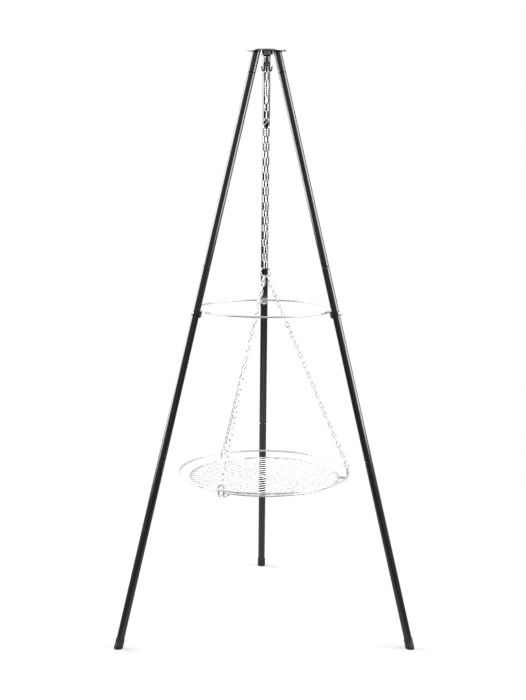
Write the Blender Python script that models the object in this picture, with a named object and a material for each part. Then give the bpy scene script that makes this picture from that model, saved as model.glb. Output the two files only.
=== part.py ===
"""Tripod grill: three plug-together tube legs under a round head plate, braced by a wire ring,
with a grate that hangs on chains from a swivel hook.

Metres, +Z up. The origin is on the floor, in the middle of the whole stand's box. The tripod's
own axis stands at x = 0, y = AXIS_Y, one leg points to +Y and the open side faces -Y.
"""

import math

import bmesh
import bpy
from mathutils import Matrix, Vector

# Running gaps
SEAT_GAP = 0.0003  # between a piece and what carries it
PLAY = 0.0006  # round a bolt or a turning stem
WELD = 0.0004  # how far welded wires sink into each other

# Legs
FOOT_RADIUS = 0.472  # leg axis to tripod axis, on the floor
HEAD_RADIUS = 0.033074  # the same under the head plate, which sets the lean
TUBE_DIAMETER = 0.022
TUBE_WALL = 0.0012
LOWER_LENGTH = 0.540  # from the floor to the lower seam, along the leg
MIDDLE_LENGTH = 0.555
UPPER_LENGTH = 0.550
STUB_LENGTH = 0.062  # short tube welded under the head plate
PLUG_LENGTH = 0.045  # reduced end that slips into the tube above
SHOULDER_LENGTH = 0.0015  # over which it is drawn in, just below the seam
CAP_WALL = 0.0012
CAP_LENGTH = 0.028
CAP_FLOOR = 0.009

# Head plate and swivel hook
PLATE_DIAMETER = 0.110
PLATE_THICKNESS = 0.003
COLLAR_DIAMETER = 0.034
COLLAR_HEIGHT = 0.010
COLLAR_FILLET = 0.003
LOCK_NUT_FLATS = 0.020
LOCK_NUT_HEIGHT = 0.004
BUSHING_DIAMETER = 0.013
BUSHING_FLANGE_DIAMETER = 0.022
BUSHING_FLANGE_HEIGHT = 0.0012
BUSHING_TAIL = 0.003  # that shows below the lock nut
STEM_DIAMETER = 0.009
STEM_LENGTH = 0.0112  # bare stem between the bushing and the eye
RIVET_DIAMETER = 0.014
RIVET_HEIGHT = 0.0023
HOOK_WIRE = 0.004
EYE_RADIUS = 0.0055  # to the middle of the wire
HORN_ARM_X = 0.0077
HORN_DROP = 0.0226  # from the yoke down to where the horn turns
HORN_RADIUS = 0.0036
HORN_TIP_RISE = 0.0105

# Main chain
CHAIN_WIRE = 0.0026
LINK_LENGTH = 0.0265
LINK_WIDTH = 0.0105
TOP_LINK_TWISTS = (0, 8, 28, 48, 68, 82, 90)  # degrees, on top of each link's quarter turn
RUN_PITCH = 0.021  # wanted pitch of the doubled runs, which an odd count of links then fills
RUN_X = 0.0034  # each run to the chain's own axis
RUN_SHIFT = 0.00145  # flat links stand off the axis, one run before and one behind
SHOOK_WIRE = 0.0032
SHOOK_TOP_RADIUS = 0.0052
SHOOK_BOTTOM_RADIUS = 0.008
SHOOK_CENTRES = 0.019  # between the centres of its two bends

# Gather ring and the three grate chains
GATHER_WIRE = 0.004
GATHER_DIAMETER = 0.0315
GATHER_Z = 1.034
GRATE_CHAIN_WIRE = 0.0028
GRATE_CHAIN_WIDTH = 0.0106
GRATE_CHAIN_PITCH = 0.0165  # wanted pitch, which an even count of links then fills
GATHER_SPREAD = math.radians(22)  # between neighbouring chains, round the ring

# Grate
RIM_DIAMETER = 0.500
RIM_WIRE = 0.005
RIM_Z = 0.450
BED_DIAMETER = 0.440  # ring that carries the bars
BED_WIRE = 0.0045
BED_DROP = 0.0154  # below the rim
BAR_WIRE = 0.003
BAR_PITCH = 0.021
BAR_DIRECTION = math.radians(30)
CROSS_WIRE = 0.004
LUG_WIRE = 0.004
LUG_WIDTH = 0.016  # between the middles of its two legs
LUG_RISE = 0.015  # above the rim
LUG_CORNER = 0.005
LUG_AZIMUTHS = (0.0, math.radians(120), math.radians(240))

# Spreader ring, its tabs and their bolts
SPREADER_Z = 0.930
SPREADER_WIRE = 0.005
TAB_WIDTH = 0.021
TAB_THICKNESS = 0.0025
TAB_HEIGHT = 0.0215
TAB_REACH = 0.014943  # from the tab's face on the tube to the middle of the ring's wire
BOLT_DIAMETER = 0.008
BOLT_DROP = 0.011  # from the tab's arm down to the bolt
BOLT_HEAD_DIAMETER = 0.0175
BOLT_HEAD_HEIGHT = 0.0045
NUT_FLATS = 0.013
NUT_HEIGHT = 0.0065
BOLT_END = 0.0015  # that shows beyond its nut

# Faces round each piece
TUBE_SIDES = 16
PLATE_SIDES = 32
STEM_SIDES = 16

# Worked out from the sizes above
TUBE_R = TUBE_DIAMETER / 2
BORE_R = TUBE_R - TUBE_WALL
PLUG_R = BORE_R - SEAT_GAP
LOWER_SEAM = LOWER_LENGTH
MIDDLE_SEAM = LOWER_SEAM + MIDDLE_LENGTH
UPPER_SEAM = MIDDLE_SEAM + UPPER_LENGTH
LEG_TOP = UPPER_SEAM + STUB_LENGTH
LEAN = math.asin((FOOT_RADIUS - HEAD_RADIUS) / LEG_TOP)  # from upright
PLATE_Z = LEG_TOP * math.cos(LEAN)  # underside of the head plate
PLATE_TOP = PLATE_Z + PLATE_THICKNESS
CAP_R = TUBE_R + SEAT_GAP + CAP_WALL
FOOT_LONG = CAP_R / math.cos(LEAN)  # half length of the foot's print, along its radius
REAR_REACH = FOOT_RADIUS + FOOT_LONG
FRONT_REACH = FOOT_RADIUS / 2 + math.hypot(FOOT_LONG * math.cos(math.radians(60)),
                                          CAP_R * math.sin(math.radians(60)))
AXIS_Y = (FRONT_REACH - REAR_REACH) / 2
LEGS = (("left", math.radians(210)), ("right", math.radians(330)), ("rear", math.radians(90)))

COLLAR_BOTTOM = PLATE_Z - SEAT_GAP - COLLAR_HEIGHT
LOCK_NUT_BOTTOM = COLLAR_BOTTOM - SEAT_GAP - LOCK_NUT_HEIGHT
BUSHING_BOTTOM = LOCK_NUT_BOTTOM - BUSHING_TAIL
EYE_Z = BUSHING_BOTTOM - STEM_LENGTH - EYE_RADIUS

LINK_REACH = (LINK_LENGTH - CHAIN_WIRE) / 2  # link centre to the middle of its end wire
TOP_PITCH = 2 * LINK_REACH - CHAIN_WIRE - SEAT_GAP
TOP_LINK_Z = EYE_Z - EYE_RADIUS + (HOOK_WIRE + CHAIN_WIRE) / 2 + SEAT_GAP - LINK_REACH
SHOOK_TOP_Z = (TOP_LINK_Z - (len(TOP_LINK_TWISTS) - 1) * TOP_PITCH - LINK_REACH
               + (CHAIN_WIRE + SHOOK_WIRE) / 2 + SEAT_GAP - SHOOK_TOP_RADIUS)
SHOOK_BOTTOM_Z = SHOOK_TOP_Z - SHOOK_CENTRES
RUN_TOP_Z = SHOOK_BOTTOM_Z - math.sqrt(
    (SHOOK_BOTTOM_RADIUS - (SHOOK_WIRE + CHAIN_WIRE) / 2 - SEAT_GAP) ** 2 - RUN_X**2)
GATHER_R = (GATHER_DIAMETER - GATHER_WIRE) / 2
RUN_BOTTOM_Z = GATHER_Z + math.sqrt(
    (GATHER_R - (GATHER_WIRE + CHAIN_WIRE) / 2 - SEAT_GAP) ** 2 - RUN_X**2)

RIM_R = (RIM_DIAMETER - RIM_WIRE) / 2
BED_R = (BED_DIAMETER - BED_WIRE) / 2
BED_Z = RIM_Z - BED_DROP
LUG_R = RIM_R - (RIM_WIRE + LUG_WIRE) / 2 + WELD
LUG_FOOT_Z = BED_Z - (BED_WIRE + LUG_WIRE) / 2 - SEAT_GAP

ARM_TOP = SPREADER_Z + SPREADER_WIRE / 2 + SEAT_GAP + TAB_THICKNESS
TAB_FACE = -(TUBE_R + SEAT_GAP)  # the tab's face on the tube, across the leg's own axis
TAB_TOP = (ARM_TOP - TAB_FACE * math.sin(LEAN)) / math.cos(LEAN)  # along the leg
BOLT_ALONG = TAB_TOP - BOLT_DROP
TAB_FACE_R = FOOT_RADIUS - TAB_TOP * math.sin(LEAN) + TAB_FACE * math.cos(LEAN)
SPREADER_RADIUS = TAB_FACE_R - TAB_REACH

HALF_TURN = math.pi
FULL_TURN = 2 * math.pi


def clear_scene():
    for obj in list(bpy.data.objects):
        bpy.data.objects.remove(obj)


def finish(name, colour, roughness, metallic):
    """A plain Principled material."""
    made = bpy.data.materials.new(name)
    made.use_nodes = True
    shader = made.node_tree.nodes["Principled BSDF"]
    shader.inputs["Base Color"].default_value = (*colour, 1)
    shader.inputs["Roughness"].default_value = roughness
    shader.inputs["Metallic"].default_value = metallic
    return made


def mesh_from(shape):
    """The bmesh as a smooth-shaded mesh with its faces pointing out."""
    bmesh.ops.recalc_face_normals(shape, faces=shape.faces)
    mesh = bpy.data.meshes.new("shape")
    shape.to_mesh(mesh)
    shape.free()
    mesh.shade_smooth()
    mesh.set_sharp_from_angle(angle=math.radians(35))
    return mesh


def place(name, mesh, material, parent=None, at=(0, 0, 0)):
    """Puts a mesh in the scene as a named object, in its parent's frame."""
    obj = bpy.data.objects.new(name, mesh)
    mesh.name = name
    mesh.materials.clear()
    mesh.materials.append(material)
    bpy.context.scene.collection.objects.link(obj)
    obj.parent = parent
    obj.location = at
    return obj


def frame_empty(name, matrix):
    """An empty that carries a group of pieces in their own frame."""
    empty = bpy.data.objects.new(name, None)
    bpy.context.scene.collection.objects.link(empty)
    empty.matrix_world = matrix
    return empty


def helper(name, mesh, parent=None):
    """A cutter or a piece to weld on, left out of the model itself."""
    obj = bpy.data.objects.new(name, mesh)
    bpy.context.scene.collection.objects.link(obj)
    obj.parent = parent
    obj.hide_render = True
    obj.display_type = "WIRE"
    return obj


def combine(obj, other, operation):
    """Cuts another object from this one, or welds it on."""
    boolean = obj.modifiers.new(other.name, "BOOLEAN")
    boolean.operation = operation
    boolean.object = other


def turned(profile, sides, closed):
    """Turns (radius, height) points about Z: a closed outline, or a line from axis to axis."""
    shape = bmesh.new()
    verts = [shape.verts.new((radius, 0, height)) for radius, height in profile]
    ends = list(zip(verts, verts[1:]))
    if closed:
        ends.append((verts[-1], verts[0]))
    edges = [shape.edges.new(pair) for pair in ends]
    bmesh.ops.spin(shape, geom=verts + edges, cent=(0, 0, 0), axis=(0, 0, 1),
                   angle=FULL_TURN, steps=sides, use_merge=True)
    bmesh.ops.remove_doubles(shape, verts=shape.verts, dist=1e-6)
    return mesh_from(shape)


def hexagon(flats, bottom, top):
    shape = bmesh.new()
    bmesh.ops.create_cone(shape, cap_ends=True, segments=6, radius1=flats / math.sqrt(3),
                          radius2=flats / math.sqrt(3), depth=top - bottom)
    bmesh.ops.translate(shape, verts=shape.verts, vec=(0, 0, (top + bottom) / 2))
    return mesh_from(shape)


def box(low, high):
    shape = bmesh.new()
    bmesh.ops.create_cube(shape, size=1)
    size = [b - a for a, b in zip(low, high)]
    middle = [(a + b) / 2 for a, b in zip(low, high)]
    bmesh.ops.scale(shape, verts=shape.verts, vec=size)
    bmesh.ops.translate(shape, verts=shape.verts, vec=middle)
    return mesh_from(shape)


def rod(radius, bottom, top, sides):
    """A plain round bar along Z."""
    return turned([(0, bottom), (radius, bottom), (radius, top), (0, top)], sides, False)


def wire(points, thickness, ring=False, round_steps=1):
    """A round wire through the points, bent into a closed ring or with flat ends."""
    curve = bpy.data.curves.new("wire", "CURVE")
    curve.dimensions = "3D"
    curve.bevel_depth = thickness / 2
    curve.bevel_resolution = round_steps
    curve.use_fill_caps = not ring
    spline = curve.splines.new("POLY")
    spline.points.add(len(points) - 1)
    for knot, point in zip(spline.points, points):
        knot.co = (*point, 1)
    spline.use_cyclic_u = ring
    holder = bpy.data.objects.new("wire", curve)
    bpy.context.scene.collection.objects.link(holder)
    graph = bpy.context.evaluated_depsgraph_get()
    mesh = bpy.data.meshes.new_from_object(holder.evaluated_get(graph))
    bpy.data.objects.remove(holder)
    shape = bmesh.new()
    shape.from_mesh(mesh)
    bmesh.ops.remove_doubles(shape, verts=shape.verts, dist=1e-6)
    return mesh_from(shape)


def arc(centre, radius, start, end, steps):
    """Points of an arc in the XZ plane, its angles counted from +X towards +Z."""
    for step in range(steps + 1):
        angle = start + (end - start) * step / steps
        yield Vector((centre[0] + radius * math.cos(angle), 0, centre[1] + radius * math.sin(angle)))


def circle(radius, height, steps):
    for step in range(steps):
        angle = FULL_TURN * step / steps
        yield Vector((radius * math.cos(angle), radius * math.sin(angle), height))


def link_path(length, width, thickness, bend_steps):
    """A chain link's centre line in the XZ plane: two half rounds joined by straight sides."""
    bend = (width - thickness) / 2
    tallest = max(math.sin(HALF_TURN * step / bend_steps) for step in range(bend_steps))
    straight = (length - thickness) / 2 - bend * tallest
    top = list(arc((0, straight), bend, 0, HALF_TURN, bend_steps))
    bottom = list(arc((0, -straight), bend, HALF_TURN, FULL_TURN, bend_steps))
    return top + bottom


def joined(meshes_and_places):
    """One mesh out of copies that don't touch, each moved by its own matrix."""
    shape = bmesh.new()
    for mesh, matrix in meshes_and_places:
        before = len(shape.verts)
        shape.from_mesh(mesh)
        shape.verts.ensure_lookup_table()
        bmesh.ops.transform(shape, matrix=matrix, verts=shape.verts[before:])
    return mesh_from(shape)


def link_frame(centre, along, across):
    """Stands a link's plane on two directions: its length along one, its width across the other."""
    along = along.normalized()
    across = (across - across.dot(along) * along).normalized()
    normal = across.cross(along)
    turn = Matrix((across, -normal, along)).transposed().to_4x4()
    return Matrix.Translation(centre) @ turn


def chain_run(name, material, parent, start, end, count, thickness, width, across, twist, shift):
    """A run of links, welded where they touch, between the middles of its two end wires."""
    along = end - start
    pitch = (along.length - thickness + WELD) / count
    length = pitch + 2 * thickness - WELD
    link = wire(link_path(length, width, thickness, 3), thickness, ring=True, round_steps=0)
    along.normalize()
    groups = ([], [])
    for index in range(count):
        centre = start + along * ((length - thickness) / 2 + index * pitch)
        turn = Matrix.Rotation(index * HALF_TURN / 2 + twist * index / (count - 1), 3, along)
        if index % 2:
            centre = centre + shift
        groups[index % 2].append((link, link_frame(centre, along, turn @ across)))
    run = place(name, joined(groups[0]), material, parent)
    combine(run, helper(name + "_turned_links", joined(groups[1]), parent), "UNION")


def tube_profile(start, end, plugged):
    """Outline of a tube's wall, with its upper end drawn in to a plug where it has one."""
    inside = [(BORE_R, start)]
    outside = [(TUBE_R, start)]
    if plugged:
        neck = end - SHOULDER_LENGTH
        outside += [(TUBE_R, neck), (PLUG_R, end), (PLUG_R, end + PLUG_LENGTH)]
        inside += [(BORE_R, neck), (PLUG_R - TUBE_WALL, end), (PLUG_R - TUBE_WALL, end + PLUG_LENGTH)]
    else:
        outside.append((TUBE_R, end))
        inside.append((BORE_R, end))
    return outside + inside[::-1]


def make_legs(paint, rubber):
    head_cutter = helper("head_cutter", box((-1, -1, PLATE_Z - SEAT_GAP), (1, 1, PLATE_Z + 1)))
    floor_cutter = helper("floor_cutter", box((-1, -1, -1), (1, 1, 0)))
    frames = []
    for side, azimuth in LEGS:
        matrix = (Matrix.Translation((0, AXIS_Y, 0)) @ Matrix.Rotation(azimuth, 4, "Z")
                  @ Matrix.Translation((FOOT_RADIUS, 0, 0)) @ Matrix.Rotation(-LEAN, 4, "Y"))
        leg = frame_empty(f"leg_{side}_axis", matrix)
        frames.append((side, leg))

        stub = turned(tube_profile(UPPER_SEAM + SEAT_GAP, LEG_TOP + TUBE_R, False), TUBE_SIDES, True)
        combine(place(f"leg_stub_{side}", stub, paint, leg), head_cutter, "DIFFERENCE")

        upper = turned(tube_profile(MIDDLE_SEAM + SEAT_GAP, UPPER_SEAM, True), TUBE_SIDES, True)
        place(f"upper_tube_{side}", upper, paint, leg)

        middle = turned(tube_profile(LOWER_SEAM + SEAT_GAP, MIDDLE_SEAM, True), TUBE_SIDES, True)
        drill = rod(BOLT_DIAMETER / 2 + PLAY, -2 * TUBE_R, 2 * TUBE_R, TUBE_SIDES)
        drill.transform(Matrix.Translation((0, 0, BOLT_ALONG)) @ Matrix.Rotation(HALF_TURN / 2, 4, "Y"))
        combine(place(f"middle_tube_{side}", middle, paint, leg),
                helper(f"bolt_drill_{side}", drill, leg), "DIFFERENCE")

        lower = turned(tube_profile(CAP_FLOOR + SEAT_GAP, LOWER_SEAM, True), TUBE_SIDES, True)
        place(f"lower_tube_{side}", lower, paint, leg)

        cap = [(0, -2 * TUBE_R), (CAP_R, -2 * TUBE_R), (CAP_R, CAP_LENGTH),
               (CAP_R - CAP_WALL, CAP_LENGTH), (CAP_R - CAP_WALL, CAP_FLOOR), (0, CAP_FLOOR)]
        combine(place(f"foot_cap_{side}", turned(cap, TUBE_SIDES, False), rubber, leg),
                floor_cutter, "DIFFERENCE")
    return frames


def make_spreader(frames, chrome, zinc):
    centre = frame_empty("spreader_axis", Matrix.Translation((0, AXIS_Y, 0)))
    ring = wire(list(circle(SPREADER_RADIUS, SPREADER_Z, 48)), SPREADER_WIRE, ring=True)
    place("spreader_ring", ring, chrome, centre)
    outer = TUBE_R + SEAT_GAP
    shaft = BOLT_DIAMETER / 2
    for side, leg in frames:
        make_tab(side, leg, chrome)
        across = Matrix.Translation((0, 0, BOLT_ALONG)) @ Matrix.Rotation(HALF_TURN / 2, 4, "Y")
        head_face = TAB_FACE - TAB_THICKNESS - SEAT_GAP
        head = BOLT_HEAD_DIAMETER / 2
        nut_face = outer + NUT_HEIGHT
        bolt = turned([(0, head_face - BOLT_HEAD_HEIGHT), (head * 0.5, head_face - BOLT_HEAD_HEIGHT * 0.87),
                       (head * 0.87, head_face - BOLT_HEAD_HEIGHT * 0.5), (head, head_face),
                       (shaft, head_face), (shaft, nut_face), (shaft * 0.7, nut_face + BOLT_END),
                       (0, nut_face + BOLT_END)], TUBE_SIDES, False)
        bore = rod(shaft + PLAY, outer - NUT_HEIGHT, nut_face + NUT_HEIGHT, STEM_SIDES)
        nut_mesh = hexagon(NUT_FLATS, outer, nut_face)
        for mesh in (bolt, nut_mesh, bore):
            mesh.transform(across)
        place(f"tab_bolt_{side}", bolt, zinc, leg)
        combine(place(f"tab_nut_{side}", nut_mesh, zinc, leg),
                helper(f"nut_drill_{side}", bore, leg), "DIFFERENCE")


def make_tab(side, leg, material):
    """The bent tab: a flat arm over the ring's wire and a flange down the tube's inner face."""
    half = TAB_WIDTH / 2
    bottom = TAB_TOP - TAB_HEIGHT
    shape = bmesh.new()
    outline = [(-half, TAB_TOP), (half, TAB_TOP)]
    outline += [(half * math.cos(a), bottom + half + half * math.sin(a))
                for a in (-HALF_TURN * step / 8 for step in range(9))]
    face = shape.faces.new([shape.verts.new((TAB_FACE, y, z)) for y, z in outline])
    grown = bmesh.ops.extrude_face_region(shape, geom=[face])["geom"]
    bmesh.ops.translate(shape, verts=[v for v in grown if isinstance(v, bmesh.types.BMVert)],
                        vec=(-TAB_THICKNESS, 0, 0))
    flange = place(f"spreader_tab_{side}", mesh_from(shape), material, leg)

    # The arm lies level, so it is made in the leg's frame turned back upright.
    arm_in = SPREADER_RADIUS - SPREADER_WIRE / 2
    arm = box((arm_in - FOOT_RADIUS, -half, ARM_TOP - TAB_THICKNESS),
              (TAB_FACE_R - FOOT_RADIUS - WELD, half, ARM_TOP))
    arm.transform(Matrix.Rotation(LEAN, 4, "Y"))
    combine(flange, helper(f"tab_arm_{side}", arm, leg), "UNION")
    drill = rod(BOLT_DIAMETER / 2 + PLAY, TAB_FACE - 3 * TAB_THICKNESS, TAB_FACE + TAB_THICKNESS, TUBE_SIDES)
    drill.transform(Matrix.Translation((0, 0, BOLT_ALONG)) @ Matrix.Rotation(HALF_TURN / 2, 4, "Y"))
    combine(flange, helper(f"tab_drill_{side}", drill, leg), "DIFFERENCE")


def make_head(zinc, blackened):
    axis = frame_empty("hook_swivel_axis", Matrix.Translation((0, AXIS_Y, 0)))
    hole = BUSHING_DIAMETER / 2 + SEAT_GAP
    edge = PLATE_DIAMETER / 2
    bevel = PLATE_THICKNESS / 4
    place("head_plate", turned([(hole, PLATE_Z), (edge - bevel, PLATE_Z), (edge, PLATE_Z + bevel),
                                (edge, PLATE_TOP - bevel), (edge - bevel, PLATE_TOP), (hole, PLATE_TOP)],
                               PLATE_SIDES, True), zinc, axis)
    outer = COLLAR_DIAMETER / 2
    fillet = [(outer - COLLAR_FILLET * (1 - math.cos(a)), COLLAR_BOTTOM + COLLAR_FILLET * (1 - math.sin(a)))
              for a in (0, HALF_TURN / 6, HALF_TURN / 3, HALF_TURN / 2)]
    collar_top = COLLAR_BOTTOM + COLLAR_HEIGHT
    place("hub_collar", turned([(hole, collar_top), (outer, collar_top), *fillet, (hole, COLLAR_BOTTOM)],
                               PLATE_SIDES, True), zinc, axis)
    nut_top = LOCK_NUT_BOTTOM + LOCK_NUT_HEIGHT
    nut = place("lock_nut", hexagon(LOCK_NUT_FLATS, LOCK_NUT_BOTTOM, nut_top), blackened, axis)
    drill = rod(hole, LOCK_NUT_BOTTOM - LOCK_NUT_HEIGHT, nut_top + LOCK_NUT_HEIGHT, STEM_SIDES)
    combine(nut, helper("lock_nut_drill", drill, axis), "DIFFERENCE")
    sleeve = BUSHING_DIAMETER / 2
    bore = STEM_DIAMETER / 2 + PLAY
    flange = BUSHING_FLANGE_DIAMETER / 2
    flange_bottom = PLATE_TOP + SEAT_GAP
    flange_top = flange_bottom + BUSHING_FLANGE_HEIGHT
    place("swivel_bushing", turned([(bore, BUSHING_BOTTOM), (sleeve, BUSHING_BOTTOM),
                                    (sleeve, flange_bottom), (flange, flange_bottom),
                                    (flange, flange_top), (bore, flange_top)],
                                   STEM_SIDES, True), zinc, axis)

    stem = STEM_DIAMETER / 2
    rivet = RIVET_DIAMETER / 2
    seat = flange_top + SEAT_GAP
    stem_bottom = EYE_Z + EYE_RADIUS - HOOK_WIRE / 2
    hook = place("hook", turned([(0, stem_bottom), (stem, stem_bottom), (stem, seat), (rivet, seat),
                                 (rivet, seat + RIVET_HEIGHT * 0.3), (rivet * 0.75, seat + RIVET_HEIGHT * 0.75),
                                 (rivet * 0.4, seat + RIVET_HEIGHT), (0, seat + RIVET_HEIGHT)],
                                STEM_SIDES, False), blackened, axis)
    eye_points = [Vector((0, p.x, p.z)) for p in list(arc((0, EYE_Z), EYE_RADIUS, 0, FULL_TURN, 16))[:-1]]
    combine(hook, helper("hook_eye", wire(eye_points, HOOK_WIRE, ring=True, round_steps=2), axis), "UNION")
    combine(hook, helper("hook_horns", wire(horn_points(stem_bottom), HOOK_WIRE), axis), "UNION")
    return axis


def horn_points(yoke_z):
    """Both parking horns as one wire: across under the stem, down each side and up at the tips."""
    bend = HORN_RADIUS
    low = yoke_z - HORN_DROP
    right = list(arc((HORN_ARM_X - bend, yoke_z - bend), bend, HALF_TURN / 2, 0, 3))
    right += list(arc((HORN_ARM_X + bend, low + bend), bend, HALF_TURN, FULL_TURN, 6))
    right.append(Vector((HORN_ARM_X + 2 * bend, 0, low + bend + HORN_TIP_RISE)))
    left = [Vector((-p.x, 0, p.z)) for p in reversed(right)]
    return left + right


def make_main_chain(chrome):
    swing = frame_empty("chain_axis", Matrix.Translation((0, AXIS_Y, 0)))
    link = wire(link_path(LINK_LENGTH, LINK_WIDTH, CHAIN_WIRE, 4), CHAIN_WIRE, ring=True)
    for index, twist in enumerate(TOP_LINK_TWISTS):
        copy = link.copy()
        copy.transform(Matrix.Rotation(index * HALF_TURN / 2 + math.radians(twist), 4, "Z"))
        place(f"chain_link_{index + 1}", copy, chrome, swing, (0, 0, TOP_LINK_Z - index * TOP_PITCH))

    upper = list(arc((0, SHOOK_TOP_Z), SHOOK_TOP_RADIUS, math.radians(200), math.radians(-25), 10))
    lower = list(arc((0, SHOOK_BOTTOM_Z), SHOOK_BOTTOM_RADIUS, math.radians(155), math.radians(380), 10))
    place("s_hook", wire(upper + lower, SHOOK_WIRE), chrome, swing)

    count = 2 * round(((RUN_TOP_Z - RUN_BOTTOM_Z) / RUN_PITCH - 1) / 2) + 1
    for name, side in (("chain_run_left", -1), ("chain_run_right", 1)):
        chain_run(name, chrome, swing, Vector((side * RUN_X, 0, RUN_TOP_Z)),
                  Vector((side * RUN_X, 0, RUN_BOTTOM_Z)), count, CHAIN_WIRE, LINK_WIDTH,
                  Vector((0, 1, 0)), 0, Vector((0, side * RUN_SHIFT, 0)))


def make_grate(chrome):
    lift = frame_empty("grate_axis", Matrix.Translation((0, AXIS_Y, 0)))
    ring = list(arc((0, GATHER_Z), GATHER_R, 0, FULL_TURN, 24))[:-1]
    place("gather_ring", wire(ring, GATHER_WIRE, ring=True), chrome, lift)

    hang = SEAT_GAP + (GATHER_WIRE + GRATE_CHAIN_WIRE) / 2
    reach = SEAT_GAP + (LUG_WIRE + GRATE_CHAIN_WIRE) / 2
    seats = (1, 0, -1)
    for name, azimuth, seat in zip(("right", "rear", "front"), LUG_AZIMUTHS, seats):
        angle = seat * GATHER_SPREAD
        held = Vector((math.sin(angle) * GATHER_R, 0, GATHER_Z - math.cos(angle) * GATHER_R))
        radial = Vector((math.cos(azimuth), math.sin(azimuth), 0))
        tangent = Vector((-math.sin(azimuth), math.cos(azimuth), 0))
        lug = radial * LUG_R + Vector((0, 0, RIM_Z + LUG_RISE))
        along = (lug - held).normalized()
        start = held - along * hang
        end = lug + along * reach
        span = (end - start).length
        count = 2 * round(span / GRATE_CHAIN_PITCH / 2)
        first = (Vector((0, 1, 0)) - along.y * along).normalized()
        last = along.cross(tangent)
        plain = Matrix.Rotation((count - 1) * HALF_TURN / 2, 3, along) @ first
        twist = math.atan2(plain.cross(last).dot(along), plain.dot(last))
        twist -= HALF_TURN * round(twist / HALF_TURN)
        chain_run(f"grate_chain_{name}", chrome, lift, start, end, count, GRATE_CHAIN_WIRE,
                  GRATE_CHAIN_WIDTH, first, twist, Vector((0, 0, 0)))

    rim = place("grate_rim", wire(list(circle(RIM_R, RIM_Z, 60)), RIM_WIRE, ring=True), chrome, lift)
    lug_mesh = wire(lug_points(), LUG_WIRE)
    lugs = joined([(lug_mesh, Matrix.Rotation(azimuth, 4, "Z")) for azimuth in LUG_AZIMUTHS])
    combine(rim, helper("grate_lugs", lugs, lift), "UNION")

    bed = place("grate_bars", wire(list(circle(BED_R, BED_Z, 60)), BED_WIRE, ring=True), chrome, lift)
    combine(bed, helper("bars", joined(list(bar_places())), lift), "UNION")
    cross_drop = (BAR_WIRE + CROSS_WIRE) / 2 - WELD
    cross = wire([Vector((0, -BED_R, -cross_drop)), Vector((0, BED_R, -cross_drop))], CROSS_WIRE)
    cross.transform(Matrix.Translation((0, 0, BED_Z)) @ Matrix.Rotation(BAR_DIRECTION, 4, "Z"))
    combine(bed, helper("cross_bar", cross, lift), "UNION")


def lug_points():
    """One lug on the +X side: in under the bar ring, out, up inside the rim, over and back."""
    half = LUG_WIDTH / 2
    top = RIM_Z + LUG_RISE
    inner = BED_R - BED_WIRE / 2
    side = [Vector((inner, half, LUG_FOOT_Z)), Vector((LUG_R - LUG_CORNER, half, LUG_FOOT_Z)),
            Vector((LUG_R - LUG_CORNER * 0.3, half, LUG_FOOT_Z + LUG_CORNER * 0.3)),
            Vector((LUG_R, half, LUG_FOOT_Z + LUG_CORNER)), Vector((LUG_R, half, top - LUG_CORNER)),
            Vector((LUG_R, half - LUG_CORNER * 0.3, top - LUG_CORNER * 0.3)),
            Vector((LUG_R, half - LUG_CORNER, top))]
    return side + [Vector((p.x, -p.y, p.z)) for p in reversed(side)]


def bar_places():
    """Each grate bar as a chord of the bar ring, ready to be welded to it."""
    rows = int((BED_R - BAR_WIRE) / BAR_PITCH)
    turn = Matrix.Translation((0, 0, BED_Z)) @ Matrix.Rotation(BAR_DIRECTION, 4, "Z")
    for row in range(-rows, rows + 1):
        offset = row * BAR_PITCH
        half = math.sqrt(BED_R**2 - offset**2)
        yield wire([Vector((-half, offset, 0)), Vector((half, offset, 0))], BAR_WIRE), turn


def build():
    clear_scene()
    paint = finish("black_paint", (0.012, 0.012, 0.013), 0.32, 0.0)
    rubber = finish("foot_rubber", (0.02, 0.02, 0.02), 0.6, 0.0)
    chrome = finish("chrome_wire", (0.62, 0.63, 0.64), 0.12, 1.0)
    zinc = finish("zinc_plate", (0.55, 0.56, 0.56), 0.3, 1.0)
    blackened = finish("blackened_steel", (0.02, 0.02, 0.022), 0.4, 0.6)
    frames = make_legs(paint, rubber)
    bpy.context.view_layer.update()
    make_spreader(frames, chrome, zinc)
    make_head(zinc, blackened)
    make_main_chain(chrome)
    make_grate(chrome)


build()
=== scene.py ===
"""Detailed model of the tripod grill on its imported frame, with its studio and camera."""

import math

import bpy
import numpy as np
from mathutils import Matrix, Vector


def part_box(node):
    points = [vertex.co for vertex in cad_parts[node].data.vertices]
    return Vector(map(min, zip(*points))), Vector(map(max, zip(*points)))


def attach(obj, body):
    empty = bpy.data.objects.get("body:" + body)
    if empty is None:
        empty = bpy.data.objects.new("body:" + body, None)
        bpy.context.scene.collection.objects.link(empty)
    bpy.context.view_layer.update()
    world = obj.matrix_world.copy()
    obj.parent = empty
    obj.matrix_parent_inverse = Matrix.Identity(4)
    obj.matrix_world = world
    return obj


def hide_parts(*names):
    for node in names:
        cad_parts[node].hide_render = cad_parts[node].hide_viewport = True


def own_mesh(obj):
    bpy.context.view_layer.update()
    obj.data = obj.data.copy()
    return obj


QUARTER, HALF, FULL = math.pi / 2, math.pi, 2 * math.pi
X, Y, Z = np.eye(3)

# Sizes in metres, as in the part's source. Z is up, and the rear leg stands towards +Y.
AXIS_Y = -0.118162  # the axis of the hook and the stand
AXIS = Matrix.Translation((0, AXIS_Y, 0))
SEAT_GAP = 0.0003  # between separate pieces that touch on the real stand

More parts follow.
